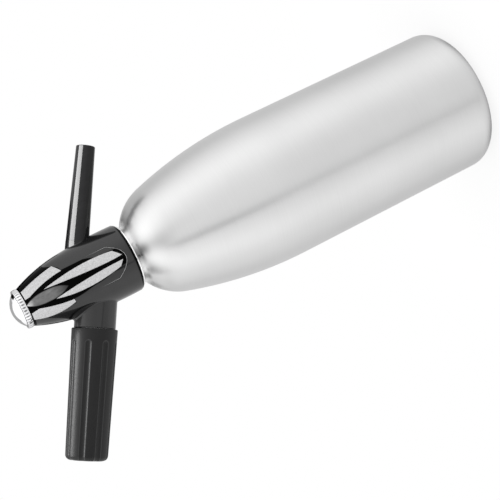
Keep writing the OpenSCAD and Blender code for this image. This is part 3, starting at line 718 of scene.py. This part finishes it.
# %% The spout
spout_profile = eased([
    (5.0, 10.7), (5.0, 15.5), (6.8, 15.5), (6.8, 22.0), (5.55, 80.8, 0.45), (3.0, 80.8, 0.3), (3.0, 10.7),
])
make_piece("spout_tube", turn(spout_profile, steps=96), "head", "gloss_black", ["spout"], spout_axis,
           look="spout_black")
root = rooted_bar(spout_axis, radius=6.82, ball=0.9, far=24.5, bore=6.2, end_ease=0.2)
make_piece("spout_root", root, "head", "gloss_black", place=spout_axis, look="spout_black")

# %% [markdown]
# ## Leaf panels and stripes
# Each side of the head carries a leaf-shaped panel with pale stripes in it and beside it. Such an
# inlay is cut flat and pressed on, and the model does the same: the outline is a flat face, planes cut
# it into small pieces so that it can bend, it is given a thickness, its rim is bevelled, and then it is
# wrapped on the head's side. The flat drawing's x is the way round the head and y the height.


# %% Wrap flat pieces on the head
def through(p, q, s, steps=14):
    """Points on a smooth curve from p through q to s."""
    p, q, s = Vector(p), Vector(q), Vector(s)
    c = 2 * q - (p + s) / 2
    shares = [i / steps for i in range(steps + 1)]
    return [tuple((1 - t)**2 * p + 2 * t * (1 - t) * c + t * t * s) for t in shares]


def wrap(vert, back):
    """Moves a point of a flat piece to its place on the head's side."""
    round_head, h, above = vert.co
    r, facing = head_side(h)
    turn_by = round_head / r
    r += above * facing.x
    front = 1 if back else -1
    vert.co = (r * math.sin(turn_by), front * r * math.cos(turn_by), rim_z + h + above * facing.y)


def inlay(outlines, low, high, soft, back):
    """Flat outlines, cut up, thickened from low to high, bevelled, marked at the rim for a painted highlight
    and wrapped.
    """
    bm = bmesh.new()
    for outline in outlines:
        bm.faces.new([bm.verts.new((x, y, low)) for x, y in outline])
    for axis, first, last, gap in ((0, -18.7, 18, 1.5), (1, 3.7, 66, 2.0)):
        for i in range(int((last - first) / gap)):
            at = Vector((0, 0, 0))
            at[axis] = first + i * gap
            way = Vector((0, 0, 0))
            way[axis] = 1
            geom = bm.verts[:] + bm.edges[:] + bm.faces[:]
            bmesh.ops.bisect_plane(bm, geom=geom, dist=1e-5, plane_co=at, plane_no=way)
    top = bmesh.ops.extrude_face_region(bm, geom=bm.faces[:], use_keep_orig=True)["geom"]
    raised = [vert for vert in top if isinstance(vert, bmesh.types.BMVert)]
    bmesh.ops.translate(bm, verts=raised, vec=(0, 0, high - low))
    bmesh.ops.recalc_face_normals(bm, faces=bm.faces)
    lifted = set(raised)
    rims = [edge for edge in bm.edges if set(edge.verts) <= lifted and abs(edge.calc_face_angle(0)) > 1]
    bmesh.ops.bevel(bm, geom=rims, offset=soft, segments=2, profile=0.5, affect="EDGES", material=-1)
    # The rim mark is a painted highlight, strongest towards the panel's round end.
    rim_highlight_mark = bm.verts.layers.float.new("worn")
    for vert in bm.verts:
        if low + 0.01 < vert.co.z < high - 0.01:
            vert[rim_highlight_mark] = min(1.0, max(0.0, (25.0 - vert.co.y) / 11.0))
        wrap(vert, back)
    return clean(bm)


# %% Outlines of the leaf and the stripes
leaf = (through((0.6, 65.5), (8, 47), (11.2, 24)) + through((11.1, 13), (1.2, 4.7), (-9.3, 13.4))
        + through((-9.3, 24), (-6.2, 47), (0.6, 65.5))[:-1])
inner_up = through((4.5, 54.2), (7.95, 31), (7.1, 10.8)) + through((2.7, 6.6), (2.5, 25), (4.5, 54.2))[:-1]
inner_down = (through((-3.3, 50.4), (-5.6, 32), (-3, 10))
              + through((0.15, 7.2), (-0.75, 28), (-3.3, 50.4))[:-1])
outer_up = ([(3.8, 65.7)] + through((4.1, 63), (8.2, 52), (10.2, 41))
            + through((16.4, 44.2), (14, 54.1), (9.75, 65.7)))
outer_down = ([(-4.9, 65.7)] + through((-4.2, 61), (-7, 50.6), (-8.2, 41.5))
              + through((-10.2, 41.3), (-12.2, 54), (-9.4, 65.7)))
for end, back in (("front", False), ("back", True)):
    make_piece(f"{end}_leaf", inlay([leaf], -0.3, 0.3, 0.3, back), "head", "gloss_black",
               [f"{end}_panel"], sharp=20)
    make_piece(f"{end}_flare", inlay([inner_up, inner_down], 0.1, 0.4, 0.05, back), "head", "silver_trim",
               [f"{end}_inner_stripes"])
    make_piece(f"{end}_wings", inlay([outer_up, outer_down], -0.2, 0.1, 0.05, back), "head", "silver_trim",
               [f"{end}_outer_stripes"])

# %% [markdown]
# ## Button and collar
# The chrome dome slides in a collar that is screwed into the nose. The collar is a rounded bead with
# grooves cut across it. A turned ring with many steps has enough points to take the grooves: each
# point within a groove is drawn in to the cutter's round.

# %% The collar
collar_r, collar_h, cut_r, cuts, per_cut = 12.0, 3.3, 0.45, 40, 12
nose_z = rim_z + head_h
cap_z = nose_z + collar_h
foot_z = 293.93
bulge_r = collar_r - 0.4
bulge = through((bulge_r, nose_z + 0.02), (collar_r, nose_z + collar_h / 2), (bulge_r, cap_z), 12)
socket = eased([bulge[-1], (10.5, cap_z, 0.25), (10.5, cap_z - 2.4), (8.55, cap_z - 2.4),
                (8.55, foot_z), (10.2, foot_z), (10.2, nose_z)])[1:]
collar = turn(bulge + socket, steps=cuts * per_cut)
groove_mark = collar.verts.layers.float.new("groove")
for vert in collar.verts:
    r = vert.co.xy.length
    pitch = math.tau / cuts
    across_cut = r * ((math.atan2(vert.co.y, vert.co.x) + pitch / 2) % pitch - pitch / 2)
    if r > 11.3 and abs(across_cut) < cut_r:
        cut_to = collar_r - math.sqrt(cut_r**2 - across_cut**2)
        vert[groove_mark] = max(0.0, (r - cut_to) / cut_r)
        vert.co.xy *= min(r, cut_to) / r
make_piece("knurled_collar", collar, "head", "chrome", ["button_collar"], sharp=50)

# %% The dome
button_r, dome_h = 10.3, 4.8
dome_r = (button_r**2 + dome_h**2) / (2 * dome_h)
dome_turn = math.degrees(math.asin(button_r / dome_r))
dome = arc((0, cap_z + dome_h - dome_r), dome_r, 90, 90 - dome_turn * 0.985, 28)
flange_z, flange_top_z, stem_hole_z = 291.93, 293.73, 301.83
skirt = eased([
    dome[-1], (button_r, cap_z, 0.3), (8.5, cap_z), (8.5, flange_top_z), (9.6, flange_top_z), (9.6, flange_z),
    (6.9, flange_z), (6.9, cap_z), (3.8, cap_z), (3.8, flange_z),
    (1.85, flange_z), (1.85, stem_hole_z), (0, stem_hole_z),
])[1:]
make_piece("chrome_dome", turn(dome + skirt, closed=False), "button", "chrome", ["push_button"])

# %% [markdown]
# Inside the head a coil spring stands on the riser's nut and pushes the valve shut. It is a ring of wire,
# wound up with a rise at each step.

# %% The spring
spring_foot_z, spring_top_z, coil_r, wire_r, coil_turns = 255.13, 263.03, 3.6, 0.4, 4
end_gap, press = wire_r + 0.06, 2.2
wire = bmesh.new()
start = Matrix.Translation((coil_r, 0, spring_foot_z + end_gap))
upright = start @ Matrix.Rotation(math.pi / 2, 4, "X")
bmesh.ops.create_circle(wire, segments=12, radius=wire_r, matrix=upright)
coil_steps = coil_turns * 40
coil_rise = spring_top_z - spring_foot_z - 2 * end_gap
bmesh.ops.spin(wire, geom=wire.verts[:] + wire.edges[:], cent=(0, 0, 0), axis=(0, 0, 1),
               dvec=(0, 0, coil_rise / coil_steps), angle=math.tau * coil_turns, steps=coil_steps)
bmesh.ops.holes_fill(wire, edges=wire.edges)
spring = make_piece("coil_spring", clean(wire), "head", "stainless_steel", ["valve_spring"])
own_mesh(spring)

# %% [markdown]
# ## Charger holder
# The holder is a long cap with eight flutes for the fingers. The cap is turned with many steps, and
# every point in a flute is drawn in, as a round cutter with a ball end would cut it. A soft rule
# instead of a hard limit rounds the crests, and the mark named edge keeps where they are.

# %% The holder
holder_rim, holder_end, holder_rim_r, holder_end_r = 33.5, 108.72, 13.35, 12.2
flute_n, flute_r, flute_depth, flute_at, crest = 8, 2.6, 0.8, 42.2, 0.06
mouth_r, floor_t = 11.97, 104.4
taper = (holder_end_r - holder_rim_r) / (holder_end - holder_rim)
rows = [38.5 + 0.3 * i for i in range(14)] + [43.0 + 2.0 * i for i in range(31)]
wall_rows = [(holder_rim_r + taper * (t - holder_rim), t) for t in rows]
cap = eased([(mouth_r, holder_rim, 0.3), (holder_rim_r, holder_rim, 0.6), wall_rows[0]])[:-1] + wall_rows
closed_end = arc((holder_end_r - 3, holder_end - 3), 3, 3, 90, 10) + [(6, holder_end), (0, holder_end)]
hollow = [(0, floor_t), (9.4, floor_t), (9.4, 44.35), (mouth_r, 44.35)]
holder = turn(cap + closed_end + hollow, steps=flute_n * 48)
crest_highlight_mark = holder.verts.layers.float.new("edge")
for vert in holder.verts:
    r, t = vert.co.xy.length, vert.co.z
    if t < holder_rim + 2 or r < 7 or (r < mouth_r + 0.01 and t < floor_t + 0.1):
        continue
    pitch = math.tau / flute_n
    across_flute = r * ((math.atan2(vert.co.y, vert.co.x)) % pitch - pitch / 2)
    off = math.hypot(across_flute, min(0.0, t - flute_at))
    raw = flute_depth - flute_r + math.sqrt(max(0.0, flute_r**2 - min(off, flute_r)**2))
    drawn = (raw + math.hypot(raw, crest)) / 2
    # The edge mark carries a painted highlight along the crests.
    vert[crest_highlight_mark] = math.exp(-(raw / 0.16)**2)
    vert.co.xy *= (r - drawn) / r
make_piece("fluted_holder", holder, "holder", "satin_black", ["charger_holder"], holder_axis)

# %% [markdown]
# ## Charger nipple
# The stub under the holder has a thread of its own, which shows when the holder is unscrewed.

# %% The nipple
nipple_root, nipple_crest = 9.8, 10.4
nipple_profile = eased([
    (1.5, 15.0), (6.4, 15.0), (6.4, 33.02), (nipple_root, 33.02), (nipple_root, 44.0, 0.5),
    (5.1, 44.0, 0.3), (5.1, 36.5), (3.45, 36.5), (3.45, 23.0), (1.5, 23.0),
])
nipple = turn(nipple_profile, steps=96)
make_piece("nipple_stub", nipple, "head", "machined_aluminium", ["charger_nipple"], holder_axis)
nipple_thread = wind_thread(nipple_root, nipple_crest, pitch=2.0, first=34.4, turns=4.2)
make_piece("nipple_thread", nipple_thread, "head", "machined_aluminium", place=holder_axis)

# %% [markdown]
# ## Stage
# The siphon stands on a plain white floor that keeps a soft shadow near the bottle and fades to plain
# white further out. The room is white to the camera. Metal sees it as a studio instead: brighter walls
# to the left and right, a plain one behind the camera and greyer ones at the back.

# %% Floor
floor_mesh = bpy.data.meshes.new("floor")
bm = bmesh.new()
bmesh.ops.create_circle(bm, cap_ends=True, segments=96, radius=0.26)
bm.to_mesh(floor_mesh)
bm.free()
floor_mesh.transform(Matrix.Translation((0, 0, -0.0003)))
floor = bpy.data.objects.new("floor", floor_mesh)
bpy.context.scene.collection.objects.link(floor)
floor.visible_glossy = False
floor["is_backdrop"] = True

white_floor, shader, place = finish("white_floor", Roughness=0.9)
shader.inputs["Base Color"].default_value = (0.9, 0.9, 0.9, 1)
tree = white_floor.node_tree
straight = Signal(tree.nodes.new("ShaderNodeLightPath").outputs["Is Camera Ray"])
reach = place.node("ShaderNodeVectorMath", {"operation": "LENGTH"}, {0: place}, out=1)
glow = place.node("ShaderNodeEmission", {}, {"Color": (1, 1, 1, 1), "Strength": 1.0})
plain = straight * (0.82 + 0.18 * reach.step(0.08, 0.22))
mixed = place.node("ShaderNodeMixShader", {}, {0: plain, 1: Signal(shader.outputs[0]), 2: glow})
feed(tree.nodes["Material Output"].inputs["Surface"], mixed)
floor_mesh.materials.append(white_floor)
print("floor", floor.dimensions.x, "m across")

# %% Room
room = bpy.data.worlds.new("room")
room.use_nodes = True
bpy.context.scene.world = room
tree = room.node_tree
straight = Signal(tree.nodes.new("ShaderNodeLightPath").outputs["Is Camera Ray"])
way = Signal(tree.nodes.new("ShaderNodeTexCoord").outputs["Generated"])
way_x, way_y, way_z = way.parts()
azimuth = way.sum("ARCTAN2", way_x, way_y * -1.0) * math.degrees(1.0)
from_front = azimuth.run("ABSOLUTE")
rise, ceiling, low = way_z.step(0.15, 0.7), way_z.step(0.75, 0.97), 1.0 - way_z.step(-0.55, -0.3)
sides = (0.38 * azimuth.hump(68, 30) + 0.25 * azimuth.hump(-62, 22)) * (1.0 + 0.2 * rise - 0.5 * low)
back = 0.24 * from_front.step(95, 135) * (1.0 - rise) + 0.36 * azimuth.hump(140, 38) * way_z.hump(0.33, 0.27)
walls = 0.42 + sides + 0.18 * rise + 0.35 * ceiling - 0.12 * low - back
grey, bright, white = (
    way.node("ShaderNodeBackground", {}, {"Color": (1, 1, 1, 1), "Strength": strength})
    for strength in (0.6, 1.5, 1.0)
)
studio = way.node("ShaderNodeMixShader", {}, {0: walls, 1: grey, 2: bright})
mixed = way.node("ShaderNodeMixShader", {}, {0: straight, 1: studio, 2: white})
feed(tree.nodes["World Output"].inputs["Surface"], mixed)
print("room:", len(tree.nodes), "nodes")

# %% [markdown]
# ## Light
# The room lights everything softly. Soft boxes add the clear white bands that polished black needs,
# and each shines only on the pieces that it is meant for, as if flags kept it off the rest. Cards are
# seen only in reflections. They draw the dark lines that give bright metal its form and darken the
# edges of the black pieces.


# %% Soft boxes and cards
def seen_from(azimuth, elevation, distance, about):
    """A place round a height on the siphon's axis. Azimuth 0 is the camera's side and 90 the spout's."""
    a, e = math.radians(azimuth), math.radians(elevation)
    away = Vector((math.sin(a) * math.cos(e), -math.cos(a) * math.cos(e), math.sin(e)))
    facing = away.to_track_quat("Z", "Y").to_matrix().to_4x4()
    return Matrix.Translation(Vector((0, 0, about)) + away * distance) @ facing


def soft_box(name, spot, wide, tall, brightness, lit):
    """A square lamp that faces the siphon and lights the pieces whose names hold one of some words."""
    lamp = bpy.data.lights.new(name, "AREA")
    lamp.shape, lamp.size, lamp.size_y = "RECTANGLE", wide, tall
    lamp.energy = brightness * math.pi * wide * tall
    box = bpy.data.objects.new(name, lamp)
    box.matrix_world = spot
    box.visible_camera = False
    bpy.context.scene.collection.objects.link(box)
    pieces = bpy.data.collections.new(f"{name}_pieces")
    for piece in bpy.context.scene.objects:
        if any(word in piece.name for word in lit):
            pieces.objects.link(piece)
    box.light_linking.receiver_collection = pieces


def card(name, spot, wide, tall, shade):
    """A card that only reflections show, from black at shade 0 to white at 1."""
    bm = bmesh.new()
    bmesh.ops.create_grid(bm, x_segments=1, y_segments=1, size=0.5)
    bmesh.ops.transform(bm, verts=bm.verts, matrix=spot @ Matrix.Diagonal((wide, tall, 1, 1)))
    mesh = bpy.data.meshes.new(name)
    bm.to_mesh(mesh)
    bm.free()
    material, shader, place = finish(name, Roughness=1.0)
    glow = place.node("ShaderNodeEmission", {}, {"Color": (1, 1, 1, 1), "Strength": shade})
    feed(material.node_tree.nodes["Material Output"].inputs["Surface"], glow)
    mesh.materials.append(material)
    stood = bpy.data.objects.new(name, mesh)
    bpy.context.scene.collection.objects.link(stood)
    stood.visible_camera = stood.visible_diffuse = stood.visible_shadow = False
    stood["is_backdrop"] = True


def rolled(angle):
    """Turns a card round the line from the siphon to it."""
    return Matrix.Rotation(math.radians(angle), 4, "Z")


def by_bar(axis, along, angle, distance):
    """A place beside a slanted bar that faces it. Angle 0 is on the camera's side and 90 above the bar."""
    line = axis.to_3x3() @ Vector((0, 0, 1))
    above = Vector((abs(line.z), 0, abs(line.x)))
    a = math.radians(angle)
    away = Vector((0, -1, 0)) * math.cos(a) + above * math.sin(a)
    middle = (axis @ Vector((0, 0, along))) * 0.001
    turned = Matrix((line, away.cross(line), away)).transposed().to_4x4()
    return Matrix.Translation(middle + away * distance) @ turned


soft_box("spout_box", by_bar(spout_axis, 140, 67, 0.5), 0.3, 0.50, 22.0, ["spout"])
soft_box("holder_box", by_bar(holder_axis, 70, 98, 0.5), 0.4, 0.14, 12.0, ["fluted_holder"])
card("line_card", seen_from(-21, -32, 0.9, 0.2), 0.06, 0.8, 0.6)
card("shoulder_line_card", seen_from(-21, 10, 0.9, 0.2), 0.08, 0.66, 0.0)
card("crown_line_card", seen_from(-11, 46, 0.9, 0.2) @ rolled(-29), 0.08, 0.62, 0.0)
card("back_card", seen_from(180, 25, 0.25, 0.31), 0.26, 0.22, 0.42)
card("head_back_card", seen_from(180, 2, 0.15, 0.275), 0.2, 0.05, 0.05)
card("spout_card", seen_from(142.5, 0, 0.189, 0.365) @ rolled(37), 0.075, 0.24, 0.0)
card("base_card", seen_from(180, -65, 0.17, 0.0), 0.3, 0.08, 0.2)

# %% [markdown]
# ## Size
# The skins lie on the solids, so the dressed siphon has to fill the same box. The two boxes are compared, and
# how much the box grows is printed.

# %% Compare the two boxes and finish
low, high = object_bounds()
grown = [1000 * (high[i] - low[i] - cad_high[i] + cad_low[i]) for i in range(3)]
print("box grows by", [round(by, 3) for by in grown], "mm")
